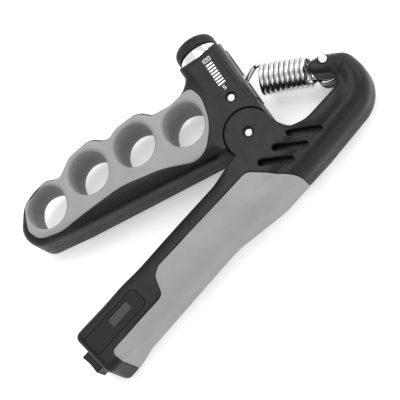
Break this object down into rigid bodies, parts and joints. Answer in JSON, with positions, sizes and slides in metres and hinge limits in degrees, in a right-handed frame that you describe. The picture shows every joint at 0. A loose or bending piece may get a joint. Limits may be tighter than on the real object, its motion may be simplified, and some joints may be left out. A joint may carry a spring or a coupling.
{
  "type": "adjustable hand grip with repetition counter",
  "caption": "Adjustable hand grip trainer: looped finger handle pivoting on a crook-ended palm handle, steel spring with knob-set force, and a digital squeeze counter.",
  "frame": {"origin": "on the pivot axis, at the flat rear cheek that the grip rests on", "axes": "+Z along the pivot axis towards the display side, +Y along the palm handle towards the crook, +X away from the finger handle"},
  "size_m": [0.0949, 0.1826, 0.026],
  "materials": {
    "black_shell": "fine satin moulded texture",
    "grey_skin": "matt overmoulded elastomer",
    "window": "polished",
    "lcd": "clear over a grey-green display",
    "board": "solder-masked laminate",
    "steel": "bright zinc plated",
    "chrome": "polished",
    "spring_steel": "nickel plated wire",
    "brass": "machined",
    "nylon": "natural nylon",
    "bronze": "sintered",
    "black_part": "moulded",
    "reed_glass": "clear"
  },
  "bodies": {
    "palm_handle": {"palm_shell_front": "black_shell", "palm_shell_rear": "black_shell", "palm_grip": "grey_skin", "display_window": "window", "lcd_panel": "lcd", "counter_board": "board", "reed_switch": "reed_glass", "battery_cell": "steel", "battery_clip": "steel", "dome_switch": "black_part", "pivot_pin": "chrome", "pivot_washers": "nylon", "palm_screws": "steel", "crook_pin": "chrome"},
    "finger_handle": {"finger_shell_front": "black_shell", "finger_shell_rear": "black_shell", "finger_loops": "grey_skin", "pivot_bush": "bronze", "chrome_collar": "chrome", "slide_channel": "steel", "screw_foot": "black_part", "head_pin": "chrome", "finger_screws": "steel", "tip_magnet": "steel"},
    "knob": {"adjust_knob": "black_part", "lead_screw": "steel", "knob_screw": "steel", "retaining_clip": "steel"},
    "slider": {"slider_nut": "brass"},
    "eye_pin": {"slider_pin": "steel"},
    "spring_front": {"spring_front_hook": "spring_steel"},
    "spring_middle": {"spring_coil": "spring_steel"},
    "spring_rear": {"spring_rear_hook": "spring_steel"},
    "button": {"reset_button": "black_part"}
  },
  "joints": [
    {"name": "squeeze", "type": "hinge", "parent": "palm_handle", "child": "finger_handle", "pos_m": [0, 0, 0.013], "axis": [0, 0, 1], "range_deg": [0, 22], "stiffness_Nm_per_rad": 10, "springref_deg": -2.86},
    {"name": "knob_turn", "type": "hinge", "parent": "finger_handle", "child": "knob", "pos_m": [0, 0, 0.013], "axis": [0.9781, -0.2079, 0], "range_deg": [0, 3744]},
    {"name": "slider_travel", "type": "slide", "parent": "finger_handle", "child": "slider", "axis": [-0.9781, 0.2079, 0], "range_m": [0, 0.013]},
    {"name": "eye_swing_squeeze", "type": "hinge", "parent": "slider", "child": "eye_pin", "pos_m": [-0.02573, 0.01365, 0.013], "axis": [0, 0, 1], "range_deg": [-15.5, 0]},
    {"name": "eye_swing_knob", "type": "hinge", "parent": "eye_pin", "child": "spring_front", "pos_m": [-0.02573, 0.01365, 0.013], "axis": [0, 0, 1], "range_deg": [-11.26, 0]},
    {"name": "coil_stretch_squeeze", "type": "slide", "parent": "spring_front", "child": "spring_middle", "axis": [0.6538, 0.7567, 0], "range_m": [0, 0.0111], "deforming": ["spring_coil"]},
    {"name": "coil_stretch_knob", "type": "slide", "parent": "spring_middle", "child": "spring_rear", "axis": [0.6538, 0.7567, 0], "range_m": [0, 0.00835]},
    {"name": "reset_press", "type": "slide", "parent": "palm_handle", "child": "button", "axis": [0, 1, 0], "range_m": [0, 0.001], "stiffness_N_per_m": 400, "springref_m": -0.0005}
  ],
  "couplings": [
    {"joint": "knob_turn", "follows": "slider_travel", "rad_per_m": 5026.5},
    {"joint": "eye_swing_squeeze", "follows": "squeeze", "ratio": -0.703},
    {"joint": "eye_swing_knob", "follows": "slider_travel", "rad_per_m": -15.095},
    {"joint": "coil_stretch_squeeze", "follows": "squeeze", "m_per_rad": 0.02886},
    {"joint": "coil_stretch_knob", "follows": "slider_travel", "ratio": 0.64154}
  ]
}
